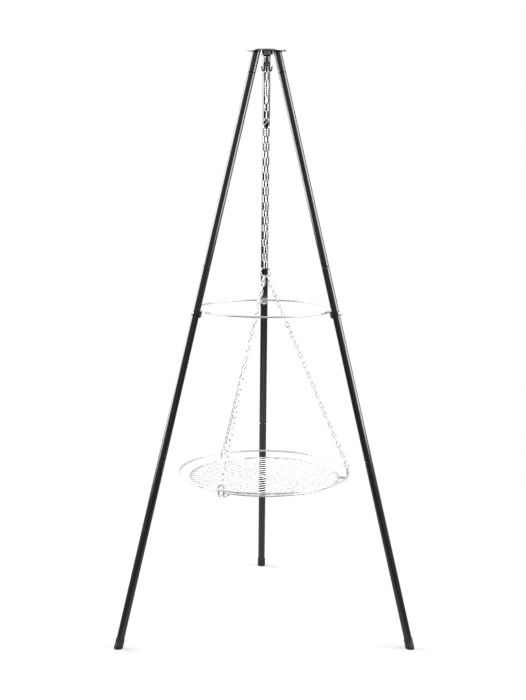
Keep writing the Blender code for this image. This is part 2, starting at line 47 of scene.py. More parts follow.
# Legs
LEAN = math.radians(14.9)
FOOT_RADIUS = 0.472
LEGS = (("left", math.radians(210)), ("right", math.radians(330)), ("rear", math.radians(90)))
TUBE_R = 0.011
TUBE_WALL = 0.0012
TUBE_SIDES = 64
TUBE_LIP = 0.0008  # the rounded lip of a tube's lower end, which catches the light
TUBE_EASE = 0.0004  # rounding of its other edges
LIP_ROUND = ((1, 0), (0.6, 0.1), (0.3, 0.3), (0.1, 0.6), (0, 1))  # in from the side, up, as shares
LOWER_SEAM = 0.540
MIDDLE_SEAM = 1.095
UPPER_SEAM = 1.645
PLUG_LENGTH = 0.045
PLUG_TAPER = 0.002
SHOULDER_LENGTH = 0.0015
SHOULDER_EASE = 0.0003
STUB_REACH = 0.07  # drawn past the plate, then cut level under it
STUB_CUT = 0.004  # points higher than this far under the cut are slid to it
BEAD_R = 0.00125
BEAD_DROP = 0.0011
BEAD_RIPPLE = 0.10
BEAD_RIPPLES = 18  # ripples of the weld bead, round the tube
BEAD_STEPS = 72

# Foot caps
CAP_LENGTH = 0.028
CAP_FLOOR = 0.009  # where the tube stands in its cap
CAP_R = 0.0125
CAP_SOLE = ((0.0022, 0), (0.0008, 0.0001), (0.0002, 0.0006), (0, 0.0016))  # in, and off the floor
CAP_RIM = ((0, 0.001), (0.0002, 0.0003), (0.0007, 0))  # in from the side, and down from the top
GROOVE_LOW = 0.016
GROOVE_HIGH = 0.022
GROOVE_DEPTH = 0.0003
GROOVE_SLOPE = 0.0005

# Head plate, collar, lock nut and bushing
PLATE_R = 0.055
PLATE_THICKNESS = 0.003
PLATE_EASE = 0.0008
COLLAR_R = 0.0178
COLLAR_HEIGHT = 0.010
COLLAR_FILLET = 0.003
LOCK_NUT_FLATS = 0.020
LOCK_NUT_HEIGHT = 0.004
BUSHING_R = 0.0065
BUSHING_FLANGE_R = 0.011
BUSHING_FLANGE_HEIGHT = 0.0012
BUSHING_TAIL = 0.003
BUSHING_EASE = 0.0005
FLANGE_EASE = 0.0004

# Swivel hook
STEM_R = 0.0045
STEM_LENGTH = 0.0112
STEM_GAP = 0.0006
STEM_EASE = 0.0007
RIVET_R = 0.007
RIVET_HEIGHT = 0.0023
RIVET_RIM = 0.25  # share of the rivet's height that is its straight edge
HOOK_WIRE = 0.004
EYE_RADIUS = 0.0055
HORN_ARM_X = 0.0077
HORN_DROP = 0.0226
HORN_SHOULDER = 0.0036
HORN_BEND = 0.0026
HORN_SPLAY = math.radians(11)
HORN_TIP = 0.0098

# Single chain, S-hook and doubled chain
CHAIN_WIRE = 0.0026
LINK_LENGTH = 0.0265
LINK_WIDTH = 0.0105
LINK_WELD = 0.13  # share by which a link is thicker at its weld
TOP_LINK_TWISTS = (0, 8, 28, 48, 68, 82, 90)  # degrees
RUN_LINKS = 19
RUN_X = 0.0034
RUN_SHIFT = 0.00145  # every second link stands off by this
SHOOK_WIRE = 0.0032
SHOOK_TOP_RADIUS = 0.0052
SHOOK_BOTTOM_RADIUS = 0.008
SHOOK_CENTRES = 0.019
SHOOK_TOP_TURN = (200, -25)  # degrees, from +X towards +Z
SHOOK_BOTTOM_TURN = (155, 380)

# Gather ring and grate chains
GATHER_WIRE = 0.004
GATHER_R = 0.01375
GATHER_Z = 1.034
GATHER_SPREAD = math.radians(22)  # between the chains' places on the gather ring
GRATE_CHAIN_WIRE = 0.0028
GRATE_CHAIN_WIDTH = 0.0106
GRATE_CHAIN_PITCH = 0.0165

# Grate
RING_STEPS = 240
RIM_R = 0.2475
RIM_WIRE = 0.005
RIM_Z = 0.450
RIM_WELD = (4.4, 0.01, 0.1)  # its angle and spread in radians, and its rise as a share
BED_R = 0.21775
BED_WIRE = 0.0045
BED_Z = 0.4346
BAR_WIRE = 0.003
BAR_PITCH = 0.021
BAR_DIRECTION = math.radians(30)
BAR_STEP = 0.02
CROSS_WIRE = 0.004
SUNK = 0.0004  # how deep one wire sinks into another where they are welded
LUG_WIRE = 0.004
LUG_WIDTH = 0.016
LUG_RISE = 0.015
LUG_CORNER = 0.005
LUG_STEP = 0.0015
# Each lug: its name, its angle about the axis, and its chain's place on the gather ring
LUGS = (("right", 0.0, 1), ("rear", math.radians(120), 0), ("front", math.radians(240), -1))

# Spreader ring, tabs, bolts and nuts
SPREADER_Z = 0.930
SPREADER_RADIUS = 0.1965
SPREADER_WIRE = 0.005
SPREADER_WELD = (1.2, 0.012, 0.12)  # as RIM_WELD
TAB_WIDTH = 0.021
TAB_THICKNESS = 0.0025
TAB_HEIGHT = 0.0215
TAB_BEND = 0.0025
TAB_EASE = 0.0004
BOLT_R = 0.004
BOLT_DROP = 0.011  # from the tab's top edge down the tube
BOLT_HEAD_R = 0.00875
BOLT_HEAD_HEIGHT = 0.0045
BOLT_HEAD_RIM = 0.12  # share of the head's height that is its straight edge
BOLT_END = 0.0015
BOLT_EASE = 0.0006
NUT_FLATS = 0.013
NUT_HEIGHT = 0.0065
THREAD_GAP = 0.0002

# Studio: strengths, and the directions and distances over which one turns into the next
ROOM_LIGHT = 0.35  # soft light from all round
ROOM_FRONT = 0.34  # what gloss sees of the dark room behind the camera
ROOM_BACK = 0.75
ROOM_CEILING = 0.86
BACK_FROM, BACK_TO = 0.1, 0.6  # the part of a direction that points to +Y
CEILING_FROM, CEILING_TO = 0.25, 0.5  # the part that points up
FLOOR_HALF = 30
FLOOR_Z = -0.0005
FLOOR_COLOUR = 0.42
FLOOR_SEEN = 0.5  # what the floor adds for the camera alone, to be white
FLOOR_FROM, FLOOR_TO = 0.6, 1.5  # how far out the lit floor turns into plain white
FLOOR_FRONT_SHARE = 0.4  # of ROOM_FRONT, on the floor in front as gloss sees it
FLOOR_BACK_TO = 3.0
BOX_HEIGHT = 2.0
BOX_POWER = 50  # for each metre of a box's width
# Each soft box: its name, its place about the axis and its width
BOXES = (("box_left", -2.4, 0.6, 1.7, 2.8), ("box_right", 2.4, -0.6, 1.85, 2.0))

# Camera, as found from the legs, rings and grate in the photograph
FRAME_HEIGHT = 700  # pixels
FOCAL = 1242.6  # pixels
FRAME_CENTRE_X = 263  # pixels
AXIS_X = 264.99  # where the stand's axis lies in the frame, in pixels
SENSOR_HEIGHT = 36  # millimetres
CAMERA_BACK = 3.5417
CAMERA_Z = 1.3742
CAMERA_TURN = -0.016  # radians, about the stand's axis
CAMERA_TILT = math.radians(9.076)
CAMERA_ROLL = 0.0065


def surface(grid, place, closed):
    """Faces over a grid of points whose columns run round: (points, faces, place).

    The grid is rows by columns by 3. A surface that isn't closed along its rows ends in a fan to
    a point at each end. place has each point's own coordinates on the piece: across the section
    twice, and the length along it.
    """
    rows, cols = grid.shape[:2]
    index = np.arange(rows * cols).reshape(rows, cols)
    low = index if closed else index[:-1]
    high = np.roll(index, -1, axis=0) if closed else index[1:]
    faces = np.stack([low, np.roll(low, -1, axis=1), np.roll(high, -1, axis=1), high], axis=-1)
    faces = faces.reshape(-1, 4).tolist()
    points, place = grid.reshape(-1, 3), place.reshape(-1, 3)
    if not closed:
        points = np.vstack([points, grid[0].mean(axis=0), grid[-1].mean(axis=0)])
        place = np.vstack([place, place[:cols].mean(axis=0), place[-cols:].mean(axis=0)])
        first, last = index[0], index[-1]
        start, end = np.full(cols, rows * cols), np.full(cols, rows * cols + 1)
        faces += np.stack([np.roll(first, -1), first, start], axis=-1).tolist()
        faces += np.stack([last, np.roll(last, -1), end], axis=-1).tolist()
    return points, faces, place


def moved(shape, matrix):
    """The same surface, each point turned and shifted by a matrix."""
    points, faces, place = shape
    matrix = np.array(matrix)
    return points @ matrix[:3, :3].T + matrix[:3, 3], faces, place


def piece(name, shapes, material, body, node, smooth=40):
    """One object out of several surfaces, facing outward, that rides a body in a CAD node's place.

    Edges sharper than smooth, in degrees, stay sharp.
    """
    points, faces, places, count = [], [], [], 0
    for shape_points, shape_faces, place in shapes:
        points.append(shape_points)
        places.append(place)
        faces += [[corner + count for corner in face] for face in shape_faces]
        count += len(shape_points)
    mesh = bpy.data.meshes.new(name)
    mesh.from_pydata(np.vstack(points).tolist(), [], faces)
    own = mesh.attributes.new("place", "FLOAT_VECTOR", "POINT")
    own.data.foreach_set("vector", np.vstack(places).ravel())
    mesh.shade_smooth()
    mesh.set_sharp_from_angle(angle=math.radians(smooth))
    mesh.materials.append(material)
    obj = bpy.data.objects.new(name, mesh)
    bpy.context.scene.collection.objects.link(obj)
    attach(obj, body)
    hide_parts(node)
    return obj


def ring_of(steps):
    """Unit circle in the XY plane: (cos, sin, 0) of equal steps of a full turn."""
    angle = FULL * np.arange(steps) / steps
    return np.stack([np.cos(angle), np.sin(angle), np.zeros(steps)], axis=-1)


def circle(radius, height, steps):
    """Circle about Z: the radius times the cosine along X and the sine along Y, at a height."""
    return radius * ring_of(steps) + height * Z


def arc(centre, radius, start, end, steps):
    """Points of an arc in the XZ plane, its angles counted from +X towards +Z."""
    angle = np.linspace(start, end, steps + 1)[:, None]
    centre = np.array([centre[0], 0, centre[1]])
    return centre + radius * (np.cos(angle) * X + np.sin(angle) * Z)


def lengths(path):
    """How far along its own line each point lies: the running sum of the steps between them."""
    return np.concatenate([[0], np.cumsum(np.linalg.norm(np.diff(path, axis=0), axis=1))])


def filled(points, spacing):
    """The same line, each stretch cut into equal steps no longer than the spacing."""
    points = np.asarray(points, float)
    out = []
    for a, b in zip(points, points[1:]):
        steps = max(1, math.ceil(np.linalg.norm(b - a) / spacing))
        out.append(a + (b - a) * np.arange(steps)[:, None] / steps)
    return np.vstack(out + [points[-1:]])


def braced(line, closed, near=0.0004):
    """The line with a point added near both ends of each long stretch, to keep its shading flat."""
    line = np.array(line, float)
    ends = np.vstack([line[1:], line[:1]]) if closed else line[1:]
    out = []
    for a, b in zip(line, ends):
        out.append(a)
        reach = np.linalg.norm(b - a)
        if reach > 4 * near:
            out += [a + (b - a) * near / reach, b - (b - a) * near / reach]
    return np.array(out if closed else out + [line[-1]])


def turned(profile, sides, closed=False):
    """Surface of revolution about Z: each (radius, height) of the outline, taken round a circle."""
    profile = braced(profile, closed)
    flat = profile[:, None, :1] * ring_of(sides)
    place = flat + lengths(profile)[:, None, None] * Z
    return surface(flat + profile[:, None, 1:] * Z, place, closed)


def swept(path, radius, across, closed=False, around=16):
    """Round wire: a circle of the given radius carried along the path, square to its direction.

    across is a direction that the path never runs along, and the circle's own axes are
    the path's direction crossed with it, and the third direction square to both.
    """
    path = np.asarray(path, float)
    if closed:
        heading = np.roll(path, -1, axis=0) - np.roll(path, 1, axis=0)
    else:
        heading = np.gradient(path, axis=0)
    heading /= np.linalg.norm(heading, axis=1, keepdims=True)
    side = np.cross(heading, across)
    side /= np.linalg.norm(side, axis=1, keepdims=True)
    third = np.cross(side, heading)
    angle = -FULL * np.arange(around) / around
    cos, sin = np.cos(angle)[None, :, None], np.sin(angle)[None, :, None]
    radius = np.broadcast_to(np.asarray(radius, float), len(path))[:, None, None]
    ring = radius * (cos * side[:, None] + sin * third[:, None])
    place = radius * (cos * X + sin * Y) + lengths(path)[:, None, None] * Z
    return surface(path[:, None] + ring, place, closed)


def domed(path, radius, steps=4):
    """The path and its radii with each end drawn out into a dome half as high as the radius.

    Along a quarter turn the path goes on by the sine, and the radius shrinks by the cosine.
    """
    path = np.asarray(path, float)
    turn = np.linspace(0, QUARTER, steps + 1)[1:]
    reach, shrink = 0.5 * radius * np.sin(turn), radius * np.cos(turn).clip(0.05)
    first = path[0] - path[1]
    last = path[-1] - path[-2]
    first /= np.linalg.norm(first)
    last /= np.linalg.norm(last)
    start, end = (path[0] + reach[:, None] * first)[::-1], path[-1] + reach[:, None] * last
    radii = np.concatenate([shrink[::-1], np.full(len(path), radius), shrink])
    return np.vstack([start, path, end]), radii


def welded_ring(radius, height, wire, weld):
    """Ring of wire about Z, thicker at its weld by a bell curve of its angle."""
    at, spread, rise = weld
    angle = FULL * np.arange(RING_STEPS) / RING_STEPS
    bulge = np.exp(-(((angle - at) / spread) ** 2))
    return swept(circle(radius, height, RING_STEPS), wire / 2 * (1 + rise * bulge), Z, closed=True)


def link(length, width, wire, bend_steps=12, around=14):
    """A chain link in the XZ plane: two half rounds joined by straight sides, thicker at its weld.

    The weld is in the middle of one side, a bell curve of the height, half the wire wide.
    """
    bend = (width - wire) / 2
    straight = (length - wire) / 2 - bend
    rise = np.linspace(-straight, straight, 9)[1:-1, None]
    path = np.vstack([
        arc((0, straight), bend, 0, HALF, bend_steps),
        -bend * X + rise[::-1] * Z,
        arc((0, -straight), bend, HALF, FULL, bend_steps),
        bend * X + rise * Z,
    ])
    weld = np.exp(-((path[:, 2] / (0.5 * wire)) ** 2)) * (path[:, 0] > 0.9 * bend)
    return swept(path, wire / 2 * (1 + LINK_WELD * weld), Y, closed=True, around=around)


def link_frame(centre, along, across):
    """Stands a link's plane on two directions: its length along one, its width across the other."""
    along = along / np.linalg.norm(along)
    across = across - across @ along * along
    across /= np.linalg.norm(across)
    matrix = np.eye(4)
    matrix[:3, 0], matrix[:3, 1], matrix[:3, 2] = across, np.cross(along, across), along
    matrix[:3, 3] = centre
    return matrix


def turn_about(axis, angle):
    """The turn by an angle about an axis, as a 3 by 3 matrix."""
    return np.array(Matrix.Rotation(angle, 3, Vector(axis)))


def links_between(start, end, count, wire, width, across, twist=0.0, shift=0.0):
    """Links in a row from one held end to the other, each a quarter turn on from the last.

    Each link is as long as its share of the span and two wires. The twist is spread evenly over
    the row, and every second link stands off by the shift.
    """
    start, end = np.asarray(start, float), np.asarray(end, float)
    span = np.linalg.norm(end - start)
    along = (end - start) / span
    pitch = (span - wire) / count
    length = pitch + 2 * wire
    shape = link(length, width, wire, bend_steps=8, around=10)
    out = []
    for index in range(count):
        centre = start + along * ((length - wire) / 2 + index * pitch) + index % 2 * shift
        turn = turn_about(along, index * QUARTER + twist * index / (count - 1))
        out.append(moved(shape, link_frame(centre, along, turn @ across)))
    return out


def nut(flats, bottom, height, bore, steps=12):
    """Hexagon nut about Z: six flats, cut back by a cone at both faces, round a threaded hole.

    Each radius is the lesser of two: the hexagon's, half the flats over the cosine of the angle
    from the middle of its flat, and the cone's at that height.
    """
    sixth = FULL / 6
    angle = FULL * np.arange(6 * steps) / (6 * steps)
    hexagon = flats / 2 / np.cos((angle + sixth / 2) % sixth - sixth / 2)
    top, edge, knee = bottom + height, 0.11 * flats, 0.0385 * flats
    heights = [bottom, bottom, bottom + knee, bottom + edge, top - edge, top - knee, top, top]
    face, slope = 0.475 * flats, 0.53 * flats
    cone = [bore, face, slope, flats, flats, slope, face, bore]
    radii = np.minimum(np.array(cone)[:, None], hexagon)
    grid = radii[..., None] * ring_of(6 * steps) + np.array(heights)[:, None, None] * Z
    return surface(grid, grid, True)


def leg_matrix(azimuth):
    """A leg's own frame: Z up along the tube from the floor, X outwards, round the stand's axis."""
    return (AXIS @ Matrix.Rotation(azimuth, 4, "Z")
            @ Matrix.Translation((FOOT_RADIUS, 0, 0)) @ Matrix.Rotation(-LEAN, 4, "Y"))


def tube_outline(start, end, plugged):
    """Closed outline of a tube's wall, as (radius, height): up its outside and down its bore.

    The lower lip is a quarter round. A plugged tube narrows at its upper end to a plug that fits
    the next tube's bore with a small gap.
    """
    bore = TUBE_R - TUBE_WALL
    outside = [(TUBE_R - inset * TUBE_LIP, start + rise * TUBE_LIP) for inset, rise in LIP_ROUND]
    if plugged:
        plug = bore - SEAT_GAP
        neck = end - SHOULDER_LENGTH
        tip = end + PLUG_LENGTH
        outside += [(TUBE_R, neck), (TUBE_R - SHOULDER_EASE, neck + TUBE_EASE),
                    (plug + SHOULDER_EASE, end - TUBE_EASE), (plug, end),
                    (plug, tip - PLUG_TAPER), (plug - TUBE_EASE, tip)]
        inside = [(plug - TUBE_WALL, tip), (plug - TUBE_WALL, end), (bore, neck), (bore, start)]
    else:
        outside += [(TUBE_R, end - TUBE_EASE), (TUBE_R - TUBE_EASE, end)]
        inside = [(bore, end), (bore, start)]
    return outside + inside


def make_stub(side, leg, paint):
    """Short tube cut level under the head plate, with its weld's bead round it.

    The cut slides the tube's upper points along the leg to the plate. The bead is a wire on the
    tube's own circle, slid along the leg to just under the plate, and its radius goes up and down
    as a sine of the angle.
    """
    matrix = np.array(leg)
    heading = matrix[:3, 2]
    outline = tube_outline(UPPER_SEAM + SEAT_GAP, UPPER_SEAM + STUB_REACH, False)
    points, faces, place = moved(turned(outline, TUBE_SIDES, True), leg)
    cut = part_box("leg_stub_left")[1].z
    over = points[:, 2] > cut - STUB_CUT
    points[over] += ((cut - points[over, 2]) / heading[2])[:, None] * heading

    bead = circle(TUBE_R, 0, BEAD_STEPS) @ matrix[:3, :3].T + matrix[:3, 3]
    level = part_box("head_plate")[0].z - BEAD_DROP
    bead += (level - bead[:, 2:]) / heading[2] * heading
    angle = FULL * np.arange(BEAD_STEPS) / BEAD_STEPS
    radius = BEAD_R * (1 + BEAD_RIPPLE * np.sin(BEAD_RIPPLES * angle))
    bead = swept(bead, radius, Z, closed=True, around=10)
    piece(f"Stub_{side}", [(points, faces, place), bead], paint, "frame", f"leg_stub_{side}")


def make_foot(side, leg, rubber):
    """Foot cap: circles about the tube, up its outside and down to the floor of its hole.

    A row of the sole lies level: each of its points is moved along the leg by the radius times
    the floor's slope across the leg there.
    """
    ring = ring_of(TUBE_SIDES)
    up = np.array(leg)[2, :3]
    slope = -(ring[:, 0] * up[0] + ring[:, 1] * up[1]) / up[2]
    rows = []
    for inset, rise in CAP_SOLE:
        radius = CAP_R - inset
        rows.append(radius * ring + (radius * slope + rise)[:, None] * Z)
    groove = CAP_R - GROOVE_DEPTH
    outline = [(CAP_R, GROOVE_LOW), (groove, GROOVE_LOW + GROOVE_SLOPE),
               (groove, GROOVE_HIGH - GROOVE_SLOPE), (CAP_R, GROOVE_HIGH)]
    outline += [(CAP_R - inset, CAP_LENGTH - drop) for inset, drop in CAP_RIM]
    outline += [(TUBE_R + SEAT_GAP, CAP_LENGTH), (TUBE_R + SEAT_GAP, CAP_FLOOR)]
    rows += [radius * ring + height * Z for radius, height in outline]
    rows = np.array(rows)
    cap = moved(surface(rows, rows, False), leg)
    piece(f"Foot_{side}", [cap], rubber, f"leg_end_{side}", f"foot_cap_{side}")


def make_legs(paint, rubber):
    """Each leg: its stub, its three tubes turned from their outlines, and its foot cap."""
    for side, azimuth in LEGS:
        leg = leg_matrix(azimuth)
        make_stub(side, leg, paint)
        for name, start, end, body in (
                ("upper", MIDDLE_SEAM, UPPER_SEAM, "frame"),
                ("middle", LOWER_SEAM, MIDDLE_SEAM, "frame"),
                ("lower", CAP_FLOOR, LOWER_SEAM, f"leg_end_{side}")):
            tube = turned(tube_outline(start + SEAT_GAP, end, True), TUBE_SIDES, True)
            piece(f"Tube_{name}_{side}", [moved(tube, leg)], paint, body, f"{name}_tube_{side}")
        make_foot(side, leg, rubber)


def make_tab(side, leg, top, inner, zinc):
    """The bent tab as one strip: level over the ring's wire, round a tight bend, down the tube.

    The bend is a square curve between its two ends, pulled to the corner. The strip's width
    follows the cosine of a quarter turn at its rounded tip. Solidify gives it its thickness.
    """
    half = TAB_WIDTH / 2
    corner = np.array(leg) @ np.array([inner - TAB_THICKNESS / 2, 0, top, 1])
    out = np.array([corner[0], corner[1] - AXIS_Y, 0])
    tube_face = np.linalg.norm(out)
    out /= tube_face
    level = SPREADER_Z + SPREADER_WIRE / 2 + SEAT_GAP + TAB_THICKNESS / 2
    down = -np.array(leg)[:3, 2]
    start = AXIS_Y * Y + (SPREADER_RADIUS - SPREADER_WIRE / 2) * out + level * Z
    bend_at = AXIS_Y * Y + tube_face * out + level * Z
    before, after = bend_at - TAB_BEND * out, bend_at + TAB_BEND * down
    knee = np.linspace(0, 1, 7)[:, None]
    curve = (1 - knee) ** 2 * before + 2 * knee * (1 - knee) * bend_at + knee**2 * after
    reach = TAB_HEIGHT - TAB_THICKNESS / 2 - half
    turn = np.linspace(0, QUARTER, 9)[1:]
    straight = bend_at + np.linspace(TAB_BEND, reach, 5)[1:, None] * down
    tip = bend_at + (reach + half * np.sin(turn))[:, None] * down
    path = np.vstack([start, start + 0.4 * (before - start), curve, straight, tip])
    full = np.full(len(path) - len(turn), half)
    widths = np.concatenate([full, half * np.cos(turn).clip(0.02)])
    share = np.linspace(-1, 1, 9)
    grid = path[:, None] + (widths[:, None] * share)[..., None] * np.array(leg)[:3, 1]
    rows, cols = grid.shape[:2]
    index = np.arange(rows * cols).reshape(rows, cols)
    faces = np.stack([index[:-1, :-1], index[:-1, 1:], index[1:, 1:], index[1:, :-1]], axis=-1)
    place = widths[:, None, None] * share[:, None] * X + lengths(path)[:, None, None] * Z
    strip = (grid.reshape(-1, 3), faces.reshape(-1, 4).tolist(), place.reshape(-1, 3))
    # zinc here is the lighter copy of the zinc, with painted lamp light in its colour.
    obj = piece(f"Tab_{side}", [strip], zinc, "frame", f"spreader_tab_{side}")
    sheet = obj.modifiers.new("sheet", "SOLIDIFY")
    sheet.thickness = TAB_THICKNESS
    sheet.offset = 0
    edge = obj.modifiers.new("edge", "BEVEL")
    edge.width = TAB_EASE
    edge.segments = 2
    edge.limit_method = "ANGLE"
    edge.angle_limit = math.radians(50)


def make_spreader(chrome, zinc, bright):
    """Spreader ring, and at each leg its tab, its dome-headed bolt and its nut.

    Bolt and nut are turned about an axis square to the tube. The head's outline follows a
    quarter turn: its sine outwards, and its cosine above a short straight edge.
    """
    ring = welded_ring(SPREADER_RADIUS, SPREADER_Z, SPREADER_WIRE, SPREADER_WELD)
    piece("Spreader_ring", [moved(ring, AXIS)], chrome, "frame", "spreader_ring")
    outer = TUBE_R + SEAT_GAP
    tab_top = SPREADER_Z + SPREADER_WIRE / 2 + SEAT_GAP + TAB_THICKNESS
    top = (tab_top + outer * math.sin(LEAN)) / math.cos(LEAN)
    face = -outer - TAB_THICKNESS - SEAT_GAP
    nut_end = outer + NUT_HEIGHT
    end = nut_end + BOLT_END
    dome = np.linspace(0, QUARTER, 12)[1:]
    rises = BOLT_HEAD_HEIGHT * (BOLT_HEAD_RIM + (1 - BOLT_HEAD_RIM) * np.cos(dome))
    head = list(zip(BOLT_HEAD_R * np.sin(dome), face - rises))
    shank = [(BOLT_HEAD_R, face), (BOLT_R, face), (BOLT_R, nut_end - BOLT_EASE),
             (BOLT_R, end - BOLT_EASE), (BOLT_R * 0.8, end)]
    for side, azimuth in LEGS:
        leg = leg_matrix(azimuth)
        make_tab(side, leg, top, -outer, zinc)
        across = (leg @ Matrix.Translation((0, 0, top - BOLT_DROP))
                  @ Matrix.Rotation(QUARTER, 4, "Y"))
        # bright is the lighter copy of the turned chrome, with painted lamp light in its colour,
        # for bolt and nut.
        bolt = moved(turned(head + shank, 48), across)
        piece(f"Bolt_{side}", [bolt], bright, "frame", f"tab_bolt_{side}")
        hexagon = moved(nut(NUT_FLATS, outer, NUT_HEIGHT, BOLT_R + THREAD_GAP), across)
        piece(f"Nut_{side}", [hexagon], bright, "frame", f"tab_nut_{side}", smooth=25)


def make_hook(seat, bushing_bottom, blackened):
    """Swivel hook: a riveted stem, an eye and two horns. Gives the height of the eye.

    The horns are one wire, mirrored about Z: a quarter round off the stem, a straight arm down, a
    bend of a half turn less the splay, and a straight tip. The rivet is a low dome.
    """
    eye_z = bushing_bottom - STEM_LENGTH - EYE_RADIUS
    bottom = eye_z + EYE_RADIUS - HOOK_WIRE / 2
    dome = np.linspace(0, QUARTER, 9)[:-1]
    rises = RIVET_HEIGHT * (RIVET_RIM + (1 - RIVET_RIM) * np.sin(dome))
    cap = list(zip(RIVET_R * np.cos(dome), seat + rises))
    stem = turned([(STEM_R * 0.86, bottom), (STEM_R, bottom + STEM_EASE), (STEM_R, seat),
                   (RIVET_R, seat)] + cap, 48)
    eye = swept(circle(EYE_RADIUS, 0, 48), HOOK_WIRE / 2, Z, closed=True)
    eye = moved(eye, Matrix.Translation((0, 0, eye_z)) @ Matrix.Rotation(QUARTER, 4, "Y"))
    shoulder = (HORN_ARM_X - HORN_SHOULDER, bottom - HORN_SHOULDER)
    bend = (HORN_ARM_X + HORN_BEND, bottom - HORN_DROP + HORN_BEND)
    horn = arc(bend, HORN_BEND, HALF, FULL - HORN_SPLAY, 14)
    tip = horn[-1] + HORN_TIP * (math.sin(HORN_SPLAY) * X + math.cos(HORN_SPLAY) * Z)
    right = np.vstack([arc(shoulder, HORN_SHOULDER, QUARTER, 0, 8), horn, [tip]])
    left = right[::-1] * [-1, 1, 1]
    horns = swept(*domed(filled(np.vstack([left, right]), 0.002), HOOK_WIRE / 2), Y)
    shapes = [moved(shape, AXIS) for shape in (stem, eye, horns)]
    piece("Hook", shapes, blackened, "swivel_hook", "hook")
    return eye_z


def make_head(zinc, turned_chrome, blackened):
    """Head plate, collar, lock nut and bushing, turned about the hook's axis, and the hook.

    Gives the height of the hook's eye. The collar's lower edge is a quarter round.
    """
    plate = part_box("head_plate")[0].z
    top = plate + PLATE_THICKNESS
    hole = BUSHING_R + SEAT_GAP
    ease, touch = PLATE_EASE, 0.3 * PLATE_EASE
    outline = [(hole, plate), (PLATE_R - ease, plate), (PLATE_R - touch, plate + touch),
               (PLATE_R, plate + ease), (PLATE_R, top - ease), (PLATE_R - touch, top - touch),
               (PLATE_R - ease, top), (hole, top)]
    # zinc here is the darker copy of the zinc, with painted shade in its colour.
    piece("Head_plate", [moved(turned(outline, 128, True), AXIS)],
          zinc, "frame", "head_plate", smooth=60)

    collar_top = plate - SEAT_GAP
    collar_bottom = collar_top - COLLAR_HEIGHT
    turn = np.linspace(0, QUARTER, 8)
    edge = zip(COLLAR_R - COLLAR_FILLET * (1 - np.cos(turn)),
               collar_bottom + COLLAR_FILLET * (1 - np.sin(turn)))
    outline = [(hole, collar_top), (COLLAR_R, collar_top), *edge, (hole, collar_bottom)]
    # turned_chrome is the darker copy of the turned chrome, with painted shade in its colour, here
    # and on the bushing.
    piece("Collar", [moved(turned(outline[::-1], 96, True), AXIS)],
          turned_chrome, "frame", "hub_collar", smooth=60)

    nut_bottom = collar_bottom - SEAT_GAP - LOCK_NUT_HEIGHT
    lock_nut = nut(LOCK_NUT_FLATS, nut_bottom, LOCK_NUT_HEIGHT, hole)
    piece("Lock_nut", [moved(lock_nut, AXIS)], blackened, "frame", "lock_nut", smooth=25)

    bottom = nut_bottom - BUSHING_TAIL
    bore = STEM_R + STEM_GAP
    flange = top + SEAT_GAP
    flange_top = flange + BUSHING_FLANGE_HEIGHT
    outline = [(bore, bottom), (BUSHING_R - BUSHING_EASE, bottom),
               (BUSHING_R, bottom + BUSHING_EASE), (BUSHING_R, flange),
               (BUSHING_FLANGE_R, flange), (BUSHING_FLANGE_R, flange_top - FLANGE_EASE),
               (BUSHING_FLANGE_R - FLANGE_EASE, flange_top), (bore, flange_top)]
    piece("Bushing", [moved(turned(outline, 64, True), AXIS)],
          turned_chrome, "frame", "swivel_bushing", smooth=60)
    return make_hook(flange_top + SEAT_GAP, bottom, blackened)


def make_chain(chrome, eye_z):
    """Single links under the hook's eye, the S-hook, and the two runs of the doubled chain.

    Each single link hangs one pitch under the last, a quarter turn on. The S-hook is two arcs
    joined by a straight. A run's ends lie where the hooked wires touch: under the S-hook's arc
    and over the gather ring by the root of the reach squared less the run's own X squared.
    """
    reach = (LINK_LENGTH - CHAIN_WIRE) / 2
    pitch = 2 * reach - CHAIN_WIRE - SEAT_GAP
    first = eye_z - EYE_RADIUS + (HOOK_WIRE + CHAIN_WIRE) / 2 + SEAT_GAP - reach
    shape = link(LINK_LENGTH, LINK_WIDTH, CHAIN_WIRE)
    for index, twist in enumerate(TOP_LINK_TWISTS):
        place = (AXIS @ Matrix.Translation((0, 0, first - index * pitch))
                 @ Matrix.Rotation(index * QUARTER + math.radians(twist), 4, "Z"))
        body = "top_link" if index == 0 else "chain"
        piece(f"Link_{index + 1}", [moved(shape, place)], chrome, body, f"chain_link_{index + 1}")

    lowest = first - (len(TOP_LINK_TWISTS) - 1) * pitch - reach
    top_z = lowest + (CHAIN_WIRE + SHOOK_WIRE) / 2 + SEAT_GAP - SHOOK_TOP_RADIUS
    bottom_z = top_z - SHOOK_CENTRES
    path = np.vstack([arc((0, top_z), SHOOK_TOP_RADIUS, *np.radians(SHOOK_TOP_TURN), 24),
                      arc((0, bottom_z), SHOOK_BOTTOM_RADIUS, *np.radians(SHOOK_BOTTOM_TURN), 28)])
    hook = swept(*domed(filled(path, 0.001), SHOOK_WIRE / 2), Y)
    piece("S_hook", [moved(hook, AXIS)], chrome, "chain", "s_hook")

    held = SHOOK_BOTTOM_RADIUS - (SHOOK_WIRE + CHAIN_WIRE) / 2 - SEAT_GAP
    top = bottom_z - math.sqrt(held**2 - RUN_X**2)
    held = GATHER_R - (GATHER_WIRE + CHAIN_WIRE) / 2 - SEAT_GAP
    bottom = GATHER_Z + math.sqrt(held**2 - RUN_X**2)
    for name, side in (("left", -1), ("right", 1)):
        run = links_between((side * RUN_X, 0, top), (side * RUN_X, 0, bottom), RUN_LINKS,
                            CHAIN_WIRE, LINK_WIDTH, Y, shift=side * RUN_SHIFT * Y)
        obj = piece(f"Run_{name}", [moved(shape, AXIS) for shape in run],
                    chrome, "chain", f"chain_run_{name}")
        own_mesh(obj)


